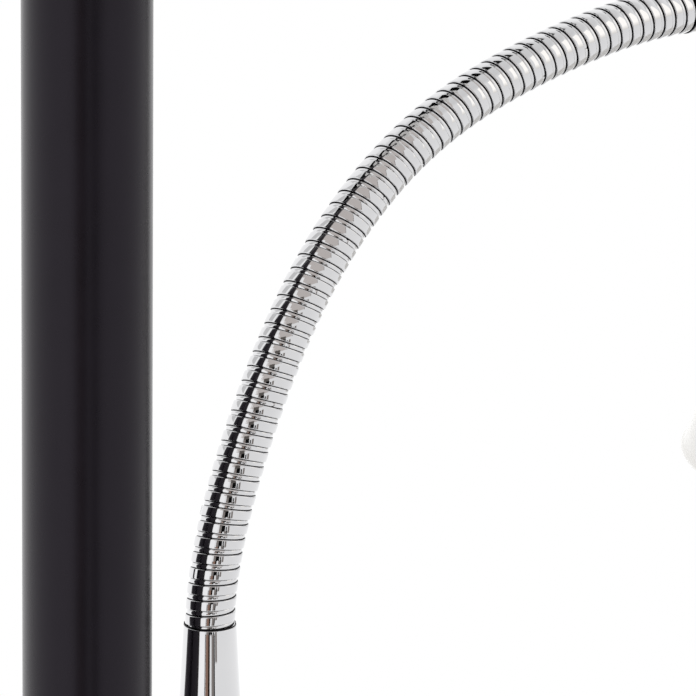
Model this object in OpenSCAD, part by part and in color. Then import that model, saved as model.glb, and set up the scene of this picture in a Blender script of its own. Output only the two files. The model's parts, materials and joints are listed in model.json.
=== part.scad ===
// Floor lamp: weighted round base, black tube pole, bowl uplighter on top, and a
// flexible reading arm that stands on a switch housing clamped to the pole.
// Origin: centre of the base's underside. Z up, the reading arm reaches towards +X.

/* [Stand] */
// Height of the bowl's rim above the floor
lamp_h = 1800; // [1600:10:2000]
// Outer diameter of the pole
pole_d = 25; // [22:0.5:28]
// Wall of the pole tubes
pole_wall = 1.2; // [1:0.1:1.6]
// Length of the plugs and couplers inside the tubes
coupler_len = 40; // [30:1:50]
// Thickness of a coupler's shoulder between two tubes
coupler_shoulder = 1; // [0.6:0.1:2]

/* [Base] */
// Diameter of the base cover
base_d = 280; // [240:5:340]
// Height of the cover where it turns down
base_edge_h = 22; // [20:1:28]
// Rise of the cover from its edge to the seat of the pole
base_rise = 5; // [3:0.5:10]
// Radius of the cover's rounded edge
base_fillet = 10; // [6:0.5:12]
// Sheet thickness of the cover
cover_wall = 1.2; // [0.8:0.1:2]
// Gap between the cover's lower edge and the floor
cover_lift = 1.5; // [1:0.1:1.9]
// Thickness of the cast weight
weight_t = 12; // [10:0.5:14]
// Gap between the weight and the cover's wall
weight_gap = 3; // [2.5:0.5:6]
// Thickness of the soft pad under the weight
pad_t = 2; // [2:0.5:4]
// Radius of the flat seat in the middle of the cover
seat_r = 22; // [20:1:30]
// Height of the collar round the foot of the pole
collar_h = 12; // [8:1:20]
// Radius of the lead's way through the inlet grommet
inlet_r = 3; // [2.5:0.1:3.4]

/* [Switch housing] */
// Height of the housing's top face above the floor
housing_top = 1130; // [900:5:1300]
// Height of the housing
housing_h = 58; // [56:1:70]
// Wall of the housing at the sides
housing_wall = 2.5; // [2:0.1:3]
// Wall of the housing at the top
housing_roof = 3; // [2.5:0.1:4]
// Wall of the sleeve round the pole
sleeve_wall = 2.5; // [2.2:0.1:3.2]
// Radius of the housing's rounded top edge
housing_fillet = 4; // [2:0.5:6]
// Distance from the pole's surface to the arm's axis
arm_gap = 13; // [13:0.5:18]
// Thickness of the lid under the housing
lid_t = 2.5; // [2:0.1:4]
// Width of a rocker switch's frame
switch_w = 15; // [14.5:0.1:15]
// Height of a rocker switch's frame
switch_h = 10.5; // [10:0.1:11.5]
// Distance from one switch to the next
switch_pitch = 16; // [14:0.5:18]
// Angle through which a rocker tips
rocker_throw = 16; // [10:1:18]

/* [Reading arm] */
// Turn of the arm at rest, from straight ahead of the housing, degrees
arm_rest_turn = 17.5; // [-40:0.5:40]
// Outer diameter of the gooseneck
hose_d = 9.9; // [9:0.1:10.5]
// Distance from one turn of the gooseneck to the next
hose_pitch = 2.9; // [2.8:0.02:3]
// Width of the outer wire's flat crown
crown_w = 1.8; // [1.7:0.02:1.84]
// Bore of the gooseneck
hose_bore = 5.2; // [4.6:0.1:5.4]
// Depth of the groove between two crowns
groove_depth = 0.6; // [0.56:0.02:0.62]
// Height of the inner wire's round back in the groove
bead_h = 0.27; // [0.2:0.01:0.3]
// Length of the lower ferrule
foot_ferrule_len = 58; // [50:1:70]
// Length of the upper ferrule
head_ferrule_len = 40; // [35:1:55]
// Outer diameter of a ferrule at its rim
rim_d = 10.4; // [10.3:0.05:10.8]
// Taper of a ferrule on each side, degrees
ferrule_taper = 3.2; // [2.5:0.1:4]

/* [Reading head] */
// Diameter of the head's cup
cup_d = 36; // [35:1:44]
// Wall of the cup
cup_wall = 1.2; // [1:0.1:1.6]
// Diameter of the reading shade at its mouth
shade_d = 92; // [84:1:120]
// Length of the reading shade
shade_len = 75; // [72:1:95]
// Sheet thickness of the reading shade
shade_wall = 1; // [0.8:0.1:1.5]
// Diameter of the reading bulb
small_bulb_d = 45; // [40:1:46]
// Length of the reading bulb
small_bulb_len = 75; // [70:1:80]

/* [Bowl] */
// Diameter of the bowl's rim
bowl_d = 300; // [260:5:340]
// Depth of the bowl
bowl_depth = 98; // [94:1:130]
// Sheet thickness of the bowl
bowl_wall = 1.2; // [1:0.1:2]
// Height of the cup under the bowl
neck_h = 50; // [48:1:60]
// Diameter of the cup under the bowl, at the bowl
neck_d = 62; // [60:1:70]
// Diameter of the large bulb
bulb_d = 60; // [50:1:64]
// Length of the large bulb
bulb_len = 105; // [100:1:108]

/* [Hidden] */
$fn = 72;

// Clearances
run_gap = 0.05;
slip_gap = 0.05;
face_gap = 0.05;

// Hollow threaded tube, size M10, with its nut and washer
tube_r = 4.95;
tube_bore_r = 3.3;
nut_across = 16;
nut_t = 5;
washer_t = 1.5;
washer_over = 3.5;
nut_r = nut_across / 2 / cos(30);
washer_r = nut_across / 2 + washer_over;
hex_sides = 6;

// Pole
pole_r = pole_d / 2;
pole_ri = pole_r - pole_wall;
plug_r = pole_ri - slip_gap;
coupler_bore_r = 6;
cover_top = base_edge_h + base_rise;
pole_foot = cover_top;
bowl_z = lamp_h - bowl_depth;
pole_top = bowl_z - neck_h;
housing_foot = housing_top - housing_h;
hidden_joint_drop = 45;
housing_joint = housing_top - hidden_joint_drop;
lower_joint = (pole_foot + housing_joint) / 2;
plug_len = coupler_len * 3 / 4;

// Base
base_r = base_d / 2;
weight_r = base_r - cover_wall - weight_gap;
pad_step = 4;
pad_r = weight_r - pad_step;
boss_r = seat_r - cover_wall;
recess_r = washer_r + 4.5;
recess_h = washer_t + nut_t + 1.5;
recess_top = pad_t + recess_h;
channel_w = 2 * inlet_r + 2;
channel_h = recess_h;
inlet_z = base_edge_h - base_fillet - 5;
grommet_wall = 0.9;
grommet_lip = 0.9;
grommet_lip_t = 1.2;
grommet_r = inlet_r + grommet_wall;
collar_r = seat_r - 1;
collar_top_r = pole_r + 2.2;
collar_low_angle = 262;
collar_high_angle = 188;
stud_foot = recess_top - washer_t - nut_t - 0.5;

// Switch housing
arm_x = pole_r + arm_gap;
sleeve_r = pole_r + slip_gap + sleeve_wall;
housing_r = sleeve_r + housing_wall;
cavity_top = housing_top - housing_roof;
roof_pad_h = 2;
lead_hole_r = 3;
lead_hole_z = cavity_top - lead_hole_r - 7;
washer_seat_t = 0.8;
arm_foot = housing_top + roof_pad_h + washer_seat_t + 2 * face_gap;
switch_frame_t = 1.5;
switch_body_w = switch_w - 1.6;
switch_body_h = switch_h - 1.6;
switch_cut_w = switch_body_w + 2 * slip_gap;
switch_cut_h = switch_body_h + 2 * slip_gap;
switch_depth = 9.5;
switch_back_y = housing_r - switch_depth;
switch_x = sqrt(sleeve_r * sleeve_r - switch_back_y * switch_back_y) + 0.6 + switch_body_w / 2;
switch_drop = 24;
switch_top_z = cavity_top - switch_drop;
switch_low_z = switch_top_z - switch_pitch;
rocker_w = switch_w - 3;
rocker_h = switch_h - 3;
rocker_pin_r = 0.8;
rocker_pin_len = 0.7;
rocker_pivot_y = 2.6;
rocker_side_gap = 0.2;
lid_start = 5;
screw_r = 1.5;
post_r = 3;
post_sink = 2;
lid_post_x = arm_x + sleeve_r - post_sink;
side_post_y = sleeve_r - post_sink;
screw_posts = [[lid_post_x, 0], [arm_x - 4, side_post_y]];
grub_r = 2.5;
grub_len = sleeve_wall + housing_wall - 0.4;
grub_heights = [housing_foot + 12, housing_top - 12];

// Gooseneck: sixteen stiff lengths, each pivoting on the ball of the one before it
hose_r = hose_d / 2;
bore_r = hose_bore / 2;
groove_w = hose_pitch - crown_w;
groove_r = hose_r - groove_depth;
crown_edge = 0.15;
ball_r = groove_r;
cup_ball_r = ball_r + run_gap;
turns_per_link = 4;
foot_turns = 1.5;
end_turns = 5;
held_turns = 3.5;
link_len = turns_per_link * hose_pitch;
arc_steps = 8;
// Bend at each pivot in the arm's rest position, degrees
rest_bend = [10, 7.5, 4.5, 3.5, 4, 5.5, 7, 7.5, 8, 8, 6.5, 4, 3, 3.5, 5];
last_link = len(rest_bend);
ferrule_rim_r = rim_d / 2;
ferrule_hose_r = hose_r + 0.07;
ferrule_lead_r = tube_bore_r;
ferrule_thread = 15;
held_len = held_turns * hose_pitch;
rim_z = arm_foot + foot_ferrule_len;
first_pivot_z = rim_z + foot_turns * hose_pitch;

// Reading head, drawn along its own axis from the arm's axis towards the mouth
cup_r = cup_d / 2;
cup_corner = 8;
cup_back = 14;
cup_front = 30;
cup_flat = 3;
boss_reach = cup_r + 2.5;
head_boss_r = ferrule_rim_r + head_ferrule_len * tan(ferrule_taper) + 0.6;
small_holder_r = 13.5;
small_holder_back = 10;
small_holder_front = cup_front + shade_wall + 9;
small_flange_t = 6;
small_ring_t = 5;
small_ring_r = small_holder_r + 3.2;
shade_top_r = cup_r + 3;
shade_shoulder = 4;
shoulder_end_angle = -20;
rim_bead_r = 1.3;
small_cap_r = 7;
small_cap_len = 22;
small_cap_foot = cup_front - 10;
small_neck_r = 8;
small_neck_len = 7;

// Bowl and its lampholder
bowl_r = bowl_d / 2;
neck_r = neck_d / 2;
neck_wall = 1.2;
neck_floor = 1.5;
neck_skirt = 12;
neck_foot_r = pole_r + 1.7;
bowl_seat_r = neck_r;
bowl_arc_z = (bowl_r * bowl_r + bowl_depth * bowl_depth - bowl_seat_r * bowl_seat_r) / (2 * bowl_depth);
bowl_arc_r = sqrt(bowl_seat_r * bowl_seat_r + bowl_arc_z * bowl_arc_z);
bowl_bead_r = 1.8;
bowl_steps = 24;
holder_r = 19.5;
holder_foot_r = 12;
holder_foot_h = 10;
holder_waist_h = 18;
holder_shoulder_h = 22;
holder_front = 8;
holder_foot = pole_top + neck_floor;
holder_floor = 12;
ring_t = 6;
ring_r = neck_r - 3;
cap_r = 13.2;
cap_len = 27;
cap_sink = 20;
cap_foot = bowl_z - cap_sink;
cap_gap = 0.3;
bulb_wall = 1;
glass_step = 0.3;
bulb_neck_r = 14.5;
bulb_neck_len = 9;

// Arc of points in the r, z plane, angles counted from the r axis
function arc(cx, cz, r, a0, a1, n) = [
    for (k = [0:n]) [cx + r * cos(a0 + (a1 - a0) * k / n), cz + r * sin(a0 + (a1 - a0) * k / n)]
];
function reversed(v) = [for (k = [len(v) - 1:-1:0]) v[k]];
function sum_to(v, n) = n < 0 ? 0 : v[n] + sum_to(v, n - 1);

// Tilt of a length of the gooseneck from upright, and the place of its lower pivot
// in the arm's own plane, counted from the arm's axis
function link_tilt(i) = sum_to(rest_bend, i - 1);
function pivot(i) = i <= 1
    ? [0, 0, first_pivot_z]
    : pivot(i - 1) + link_len * [sin(link_tilt(i - 1)), 0, cos(link_tilt(i - 1))];

module on_link(i) {
    translate([arm_x, 0, 0])
        rotate([0, 0, arm_rest_turn])
            translate(pivot(i))
                rotate([0, link_tilt(i), 0])
                    children();
}

module on_arm_end() {
    on_link(last_link)
        translate([0, 0, end_turns * hose_pitch])
            children();
}

module on_head() {
    on_arm_end()
        translate([0, 0, head_ferrule_len + boss_reach])
            rotate([0, 90, 0])
                children();
}

// Ring of rectangular section between two radii
module ring(r_in, r_out, h) {
    difference() {
        cylinder(r = r_out, h = h);
        translate([0, 0, -1])
            cylinder(r = r_in, h = h + 2);
    }
}

module hex_nut(r_in, h) {
    difference() {
        cylinder(r = nut_r, h = h, $fn = hex_sides);
        translate([0, 0, -1])
            cylinder(r = r_in, h = h + 2);
    }
}

// Half-stadium ends and the straight run between them, with a rounded top edge
module stadium_block(r, z0, z1, fillet) {
    outline = concat([[0, z0], [r, z0]], arc(r - fillet, z1 - fillet, fillet, 0, 90, 6), [[0, z1]]);
    rotate([0, 0, 90])
        rotate_extrude(angle = 180)
            polygon(outline);
    translate([arm_x, 0, 0])
        rotate([0, 0, -90])
            rotate_extrude(angle = 180)
                polygon(outline);
    rotate([90, 0, 90])
        linear_extrude(height = arm_x)
            polygon(concat(outline, reversed([for (p = outline) [-p[0], p[1]]])));
}

module base_pad() {
    color("#2b2b2b")
        cylinder(r = pad_r, h = pad_t);
}

module base_weight() {
    color("#5a5a5c")
        difference() {
            union() {
                translate([0, 0, pad_t])
                    cylinder(r = weight_r, h = weight_t);
                translate([0, 0, pad_t])
                    cylinder(r = boss_r, h = cover_top - cover_wall - pad_t);
            }
            translate([0, 0, pad_t - 1])
                cylinder(r = recess_r, h = recess_h + 1);
            translate([0, 0, pad_t])
                cylinder(r = tube_r + slip_gap, h = cover_top);
            translate([-base_r, -channel_w / 2, pad_t - 1])
                cube([base_r, channel_w, channel_h + 1]);
        }
}

module base_cover() {
    hole_r = tube_r + slip_gap;
    bend_x = base_r - base_fillet;
    bend_z = base_edge_h - base_fillet;
    skin = concat(
        [[hole_r, cover_top], [seat_r, cover_top]],
        arc(bend_x, bend_z, base_fillet, 90, 0, 10),
        [[base_r, cover_lift]]
    );
    lining = concat(
        [[hole_r, cover_top - cover_wall], [seat_r, cover_top - cover_wall]],
        arc(bend_x, bend_z, base_fillet - cover_wall, 90, 0, 10),
        [[base_r - cover_wall, cover_lift]]
    );
    color("#17161a")
        difference() {
            rotate_extrude()
                polygon(concat(skin, reversed(lining)));
            translate([-base_r - 1, 0, inlet_z])
                rotate([0, 90, 0])
                    cylinder(r = grommet_r + slip_gap, h = cover_wall + 4);
        }
}

// Flanged bush in the cover's wall, where the supply lead goes in
module lead_grommet() {
    lip_r = grommet_r + grommet_lip;
    wall_x = base_r + 0.1;
    neck_len = cover_wall + 0.3;
    color("#1d1d1f")
        translate([-wall_x, 0, inlet_z])
            rotate([0, 90, 0])
                difference() {
                    union() {
                        translate([0, 0, -grommet_lip_t])
                            cylinder(r = lip_r, h = grommet_lip_t);
                        cylinder(r = grommet_r, h = neck_len);
                        translate([0, 0, neck_len])
                            cylinder(r = lip_r, h = grommet_lip_t);
                    }
                    translate([0, 0, -grommet_lip_t - 1])
                        cylinder(r = inlet_r, h = neck_len + 2 * grommet_lip_t + 2);
                }
}

module foot_collar() {
    bore = pole_r + slip_gap;
    color("#c9c9cc")
        translate([0, 0, cover_top])
            rotate_extrude()
                polygon(concat(
                    [[bore, 0], [collar_r, 0], [collar_r, 2]],
                    arc(collar_r, collar_h, collar_r - collar_top_r, collar_low_angle, collar_high_angle, 8),
                    [[collar_top_r, collar_h], [bore, collar_h]]
                ));
}

module foot_stud() {
    color("#b9b9ba")
        translate([0, 0, stud_foot])
            ring(tube_bore_r, tube_r, cover_top + plug_len - 5 - stud_foot);
}

module foot_washer() {
    color("#b9b9ba")
        translate([0, 0, recess_top - washer_t])
            ring(tube_r + slip_gap, washer_r, washer_t);
}

module foot_nut() {
    color("#b9b9ba")
        translate([0, 0, recess_top - washer_t - nut_t])
            hex_nut(tube_r + slip_gap, nut_t);
}

module pole_plug_bottom() {
    color("#8f8f92")
        translate([0, 0, pole_foot])
            ring(tube_r + slip_gap, plug_r, plug_len);
}

module pole_tube(z0, z1) {
    color("#17161a")
        translate([0, 0, z0])
            ring(pole_ri, pole_r, z1 - z0);
}

module pole_lower() {
    pole_tube(pole_foot, lower_joint - coupler_shoulder / 2);
}

module pole_middle() {
    pole_tube(lower_joint + coupler_shoulder / 2, housing_joint - coupler_shoulder / 2);
}

module pole_upper() {
    difference() {
        pole_tube(housing_joint + coupler_shoulder / 2, pole_top);
        translate([0, 0, lead_hole_z])
            rotate([0, 90, 0])
                cylinder(r = lead_hole_r, h = pole_d);
    }
}

module tube_coupler(z) {
    color("#8f8f92")
        translate([0, 0, z])
            difference() {
                union() {
                    translate([0, 0, -coupler_len / 2])
                        cylinder(r = plug_r, h = coupler_len);
                    translate([0, 0, -coupler_shoulder / 2])
                        cylinder(r = pole_r, h = coupler_shoulder);
                }
                translate([0, 0, -coupler_len])
                    cylinder(r = coupler_bore_r, h = 2 * coupler_len);
            }
}

module pole_plug_top() {
    color("#8f8f92")
        translate([0, 0, pole_top - plug_len])
            ring(tube_r + slip_gap, plug_r, plug_len);
}

// Cavity of the housing: open below, closed round the pole by the sleeve
module housing_cavity() {
    difference() {
        stadium_block(sleeve_r, housing_foot - 1, cavity_top, housing_fillet / 2);
        translate([0, 0, housing_foot - 2])
            cylinder(r = sleeve_r, h = housing_h + 2);
        for (p = screw_posts)
            translate([p[0], p[1], housing_foot + lid_t])
                cylinder(r = post_r, h = housing_h);
    }
}

module switch_housing() {
    color("#1b1a1e")
        difference() {
            union() {
                stadium_block(housing_r, housing_foot, housing_top, housing_fillet);
                translate([arm_x, 0, housing_top])
                    cylinder(r = housing_r - housing_fillet - 2, h = roof_pad_h);
            }
            housing_cavity();
            translate([0, 0, housing_foot - 1])
                cylinder(r = pole_r + slip_gap, h = housing_h + 2);
            translate([arm_x, 0, cavity_top - 1])
                cylinder(r = tube_r + run_gap, h = housing_roof + roof_pad_h + 2);
            translate([0, 0, lead_hole_z])
                rotate([0, 90, 0])
                    cylinder(r = lead_hole_r, h = arm_x);
            for (z = [switch_top_z, switch_low_z])
                translate([switch_x - switch_cut_w / 2, -housing_r - 1, z - switch_cut_h / 2])
                    cube([switch_cut_w, housing_wall + 2, switch_cut_h]);
            for (z = grub_heights)
                translate([-pole_r, 0, z])
                    rotate([0, -90, 0])
                        cylinder(r = grub_r + slip_gap, h = housing_r);
            for (p = screw_posts)
                translate([p[0], p[1], housing_foot])
                    cylinder(r = screw_r + slip_gap, h = lid_t + 12);
        }
}

module housing_lid() {
    color("#1b1a1e")
        difference() {
            stadium_block(sleeve_r - slip_gap, housing_foot, housing_foot + lid_t, 0.5);
            translate([0, 0, housing_foot - 1])
                cylinder(r = sleeve_r + slip_gap, h = lid_t + 2);
            translate([-housing_r, -housing_r, housing_foot - 1])
                cube([housing_r + lid_start, 2 * housing_r, lid_t + 2]);
            for (p = screw_posts)
                translate([p[0], p[1], housing_foot - 1])
                    cylinder(r = screw_r + slip_gap, h = lid_t + 2);
        }
}

module lid_screws() {
    head_r = 2.8;
    head_t = 1.6;
    color("#8f8f92")
        for (p = screw_posts)
            translate([p[0], p[1], housing_foot])
                difference() {
                    union() {
                        translate([0, 0, -head_t])
                            cylinder(r = head_r, h = head_t);
                        cylinder(r = screw_r, h = lid_t + 10);
                    }
                    for (turn = [0, 90])
                        rotate([0, 0, turn])
                            translate([-head_r * 0.6, -0.3, -head_t - 1])
                                cube([head_r * 1.2, 0.6, 1.8]);
                }
}

module grub_screws() {
    color("#3a3a3c")
        for (z = grub_heights)
            translate([-pole_r - slip_gap, 0, z])
                rotate([0, -90, 0])
                    difference() {
                        cylinder(r = grub_r, h = grub_len);
                        translate([0, 0, grub_len - 2])
                            cylinder(r = grub_r / 2, h = 3, $fn = hex_sides);
                    }
}

module friction_washer() {
    color("#2b2b2b")
        translate([arm_x, 0, housing_top + roof_pad_h])
            ring(tube_r + 2 * run_gap, nut_across / 2, washer_seat_t);
}

// Rocker switch: a frame on the housing's side and a box behind it
module switch_frame(z) {
    color("#1d1d1f")
        translate([switch_x, -housing_r, z])
            difference() {
                union() {
                    translate([-switch_w / 2, -switch_frame_t, -switch_h / 2])
                        cube([switch_w, switch_frame_t, switch_h]);
                    translate([-switch_body_w / 2, 0, -switch_body_h / 2])
                        cube([switch_body_w, switch_depth, switch_body_h]);
                }
                translate([-rocker_w / 2, -switch_frame_t - 1, -rocker_h / 2])
                    cube([rocker_w, switch_frame_t + rocker_pivot_y + 5.4, rocker_h]);
                translate([0, rocker_pivot_y, -rocker_h / 2 - rocker_pin_len])
                    cylinder(r = rocker_pin_r + run_gap, h = rocker_h + 2 * rocker_pin_len);
            }
}

// Key of a rocker switch: two shallow slopes over a narrower back, tipped to one side
module rocker(z) {
    key_h = rocker_h - 2 * rocker_side_gap;
    pin_span = rocker_h + 2 * rocker_pin_len - 2 * rocker_side_gap;
    crest = rocker_pivot_y + switch_frame_t - 0.4;
    edge = crest + 1.6;
    tip = rocker_throw / 2;
    face_half = (rocker_w / 2 - rocker_side_gap - edge * sin(tip)) / cos(tip);
    waist_half = rocker_w / 2 - 2 * rocker_side_gap;
    back = 2.2;
    color("#26262a")
        translate([switch_x, -housing_r + rocker_pivot_y, z])
            rotate([0, 0, tip])
                union() {
                    translate([0, 0, -key_h / 2])
                        linear_extrude(height = key_h)
                            polygon([
                                [-face_half, -edge], [0, -crest], [face_half, -edge],
                                [waist_half, 0], [waist_half / 2, back], [-waist_half / 2, back],
                                [-waist_half, 0]
                            ]);
                    translate([0, 0, -pin_span / 2])
                        cylinder(r = rocker_pin_r, h = pin_span);
                }
}

// Conical ferrule, drawn from its rim at z = 0 to its wide end
module ferrule(length) {
    wide_r = ferrule_rim_r + length * tan(ferrule_taper);
    edge = 0.4;
    color("#c9c9cc")
        rotate_extrude()
            polygon([
                [ferrule_hose_r, 0], [ferrule_rim_r, 0],
                [wide_r - edge * tan(ferrule_taper), length - edge], [wide_r - edge, length],
                [tube_r + slip_gap, length], [tube_r + slip_gap, length - ferrule_thread],
                [ferrule_lead_r, length - ferrule_thread - 1], [ferrule_lead_r, held_len],
                [ferrule_hose_r, held_len]
            ]);
}

module lower_ferrule() {
    translate([arm_x, 0, rim_z])
        rotate([180, 0, 0])
            ferrule(foot_ferrule_len);
}

module upper_ferrule() {
    on_arm_end()
        ferrule(head_ferrule_len);
}

module arm_nipple() {
    foot = cavity_top - nut_t - washer_seat_t - 4;
    color("#b9b9ba")
        translate([arm_x, 0, foot])
            ring(tube_bore_r, tube_r, arm_foot + ferrule_thread - 2 - foot);
}

module arm_nut() {
    color("#b9b9ba")
        translate([arm_x, 0, cavity_top - nut_t - 2 * face_gap])
            hex_nut(tube_r + slip_gap, nut_t);
}

// Crown of the outer wire, without the point that it starts from
function crown(c) = [
    [hose_r - crown_edge, c - crown_w / 2], [hose_r, c - crown_w / 2 + crown_edge],
    [hose_r, c + crown_w / 2 - crown_edge], [hose_r - crown_edge, c + crown_w / 2]
];
// Groove after a crown, with the inner wire's round back in it
function groove(c) = [
    for (k = [-1:0.5:1]) [groove_r + bead_h * cos(90 * k), c + k * groove_w / 2]
];
function turns(n) = [
    for (m = [0:n - 1]) each concat(
        crown((m + 0.5) * hose_pitch),
        m < n - 1 ? groove((m + 1) * hose_pitch) : []
    )
];

// Length of gooseneck with n turns from its lower pivot: a hollow seat below, and
// above either the ball of the next pivot or a plain tail
module hose_length(n, seat, ball, tail) {
    half = groove_w / 2;
    top = n * hose_pitch;
    low = seat
        ? reversed(arc(0, 0, cup_ball_r, asin(half / cup_ball_r), acos(bore_r / cup_ball_r), arc_steps))
        : [[bore_r, -tail], [groove_r, -tail], [groove_r, half]];
    high = ball
        ? arc(0, top, ball_r, -asin(half / ball_r), acos(bore_r / ball_r), arc_steps)
        : [[groove_r, top - half], [groove_r, top + tail], [bore_r, top + tail]];
    color("#c4c4c8")
        rotate_extrude()
            polygon(concat(low, turns(n), high));
}

module hose_foot() {
    n = foot_turns + held_turns;
    translate([arm_x, 0, first_pivot_z - n * hose_pitch])
        hose_length(n, false, true, 0);
}

module hose_link(i) {
    on_link(i)
        hose_length(turns_per_link, true, true, 0);
}

module hose_end() {
    n = floor(end_turns + held_turns);
    on_link(last_link)
        hose_length(n, true, false, (end_turns + held_turns - n) * hose_pitch);
}

module head_nipple() {
    inner = boss_reach - cup_r + cup_wall + cup_flat + nut_t;
    on_arm_end()
        translate([0, 0, head_ferrule_len - ferrule_thread + 2])
            color("#b9b9ba")
                ring(tube_bore_r, tube_r, ferrule_thread - 2 + inner);
}

module head_nut() {
    on_head()
        translate([cup_r - cup_wall - cup_flat - nut_t, 0, 0])
            rotate([0, 90, 0])
                color("#b9b9ba")
                    hex_nut(tube_r + slip_gap, nut_t);
}

// Cup of the reading head: rounded back, side boss for the arm, open front
module reading_cup() {
    color("#17161a")
        on_head()
            difference() {
                union() {
                    rotate_extrude()
                        polygon(concat(
                            [[0, -cup_back]],
                            arc(cup_r - cup_corner, cup_corner - cup_back, cup_corner, -90, 0, 8),
                            [[cup_r, cup_front], [0, cup_front]]
                        ));
                    rotate([0, 90, 0])
                        cylinder(r = head_boss_r, h = boss_reach);
                }
                difference() {
                    rotate_extrude()
                        polygon(concat(
                            [[0, cup_wall - cup_back]],
                            arc(cup_r - cup_corner, cup_corner - cup_back, cup_corner - cup_wall, -90, 0, 8),
                            [[cup_r - cup_wall, cup_front + 1], [0, cup_front + 1]]
                        ));
                    translate([cup_r - cup_wall - cup_flat, 0, 0])
                        rotate([0, 90, 0])
                            cylinder(r = head_boss_r, h = cup_r);
                }
                rotate([0, 90, 0])
                    cylinder(r = tube_r + slip_gap, h = boss_reach + 1);
            }
}

module reading_lampholder() {
    color("#e6e4dc")
        on_head()
            difference() {
                union() {
                    translate([0, 0, small_holder_back])
                        cylinder(r = small_holder_r, h = small_holder_front - small_holder_back);
                    translate([0, 0, cup_front - small_flange_t])
                        cylinder(r = cup_r - cup_wall - slip_gap, h = small_flange_t);
                }
                translate([0, 0, small_cap_foot])
                    cylinder(r = small_cap_r + cap_gap, h = small_holder_front);
            }
}

module reading_shade() {
    hole = small_holder_r + slip_gap;
    mouth_r = shade_d / 2;
    turn_r = shade_top_r - shade_shoulder;
    skin = concat(
        [[hole, 0]],
        arc(turn_r, shade_shoulder, shade_shoulder, -90, shoulder_end_angle, 6),
        [[mouth_r, shade_len]]
    );
    lining = concat(
        [[hole, shade_wall]],
        arc(turn_r, shade_shoulder, shade_shoulder - shade_wall, -90, shoulder_end_angle, 6),
        [[mouth_r - shade_wall, shade_len]]
    );
    color("#efece6")
        on_head()
            translate([0, 0, cup_front])
                union() {
                    rotate_extrude()
                        polygon(concat(skin, reversed(lining)));
                    translate([0, 0, shade_len])
                        rotate_extrude()
                            translate([mouth_r - shade_wall / 2, 0])
                                circle(r = rim_bead_r, $fn = 24);
                }
}

module reading_ring() {
    color("#e6e4dc")
        on_head()
            translate([0, 0, cup_front + shade_wall])
                ring(small_holder_r + slip_gap, small_ring_r, small_ring_t);
}

// Screw cap of a bulb: solder tip, insulator and turned shell
module bulb_cap(r, length) {
    tip_r = r * 0.35;
    rise = r * 0.25;
    rotate_extrude()
        polygon([
            [0, 0], [tip_r, 0], [tip_r, rise * 0.4], [r * 0.8, rise * 1.4], [r, rise * 1.8],
            [r, length], [0, length]
        ]);
}

// Glass of a bulb, open at the neck: z = 0 is the end of its cap
module bulb_glass(r, height, foot_r, neck_r, neck_len) {
    centre = height - r;
    shoulder_angle = -48;
    skin = concat([[foot_r, 0], [neck_r, neck_len]], arc(0, centre, r, shoulder_angle, 90, 22));
    lining = concat(
        [[foot_r - bulb_wall, 0], [neck_r - bulb_wall, neck_len]],
        arc(0, centre, r - bulb_wall, shoulder_angle, 90, 22)
    );
    rotate_extrude()
        polygon(concat(skin, reversed(lining)));
}

module reading_bulb_cap() {
    color("#c0c0c2")
        on_head()
            translate([0, 0, small_cap_foot + 0.4])
                bulb_cap(small_cap_r, small_cap_len);
}

module reading_bulb() {
    color("#f4f1e8")
        on_head()
            translate([0, 0, small_cap_foot + 0.4 + small_cap_len])
                bulb_glass(
                small_bulb_d / 2, small_bulb_len - small_cap_len,
                small_cap_r - glass_step, small_neck_r, small_neck_len
            );
}

module bowl_nipple() {
    color("#b9b9ba")
        translate([0, 0, pole_top - plug_len + 5])
            ring(tube_bore_r, tube_r, plug_len - 5 + neck_floor + holder_floor - 2);
}

// Cup under the bowl: a skirt over the pole's end, then a bell that hides the lampholder
module bowl_cup() {
    bell = [for (k = [0:16]) let (t = k / 16)
        [neck_foot_r + (neck_r - neck_foot_r) * sin(90 * t), pole_top + neck_h * t]];
    hollow = [for (k = [1:16]) let (t = k / 16)
        [neck_foot_r + (neck_r - neck_foot_r) * sin(90 * t) - neck_wall, pole_top + neck_h * t]];
    rim_in = [for (p = hollow) if (p[1] > pole_top + neck_floor) p];
    color("#17161a")
        rotate_extrude()
            polygon(concat(
                [[pole_r + slip_gap, pole_top], [pole_r + slip_gap, pole_top - neck_skirt],
                 [neck_foot_r - 0.3, pole_top - neck_skirt]],
                bell,
                reversed(rim_in),
                [[rim_in[0][0] - 1, pole_top + neck_floor], [tube_r + slip_gap, pole_top + neck_floor],
                 [tube_r + slip_gap, pole_top]]
            ));
}

module bowl_lampholder() {
    front = bowl_z + holder_front;
    color("#e6e4dc")
        difference() {
            rotate_extrude()
                polygon(concat(
                    [[tube_r + slip_gap, holder_foot], [holder_foot_r - 1, holder_foot]],
                    [[holder_foot_r, holder_foot + 1],
                     [holder_foot_r + 1.5, holder_foot + holder_foot_h],
                     [holder_r - 2, holder_foot + holder_waist_h],
                     [holder_r, holder_foot + holder_shoulder_h], [holder_r, front],
                     [cap_r + cap_gap, front], [cap_r + cap_gap, cap_foot - 0.4],
                     [tube_r + slip_gap, cap_foot - 0.4]]
                ));
        }
}

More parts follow.
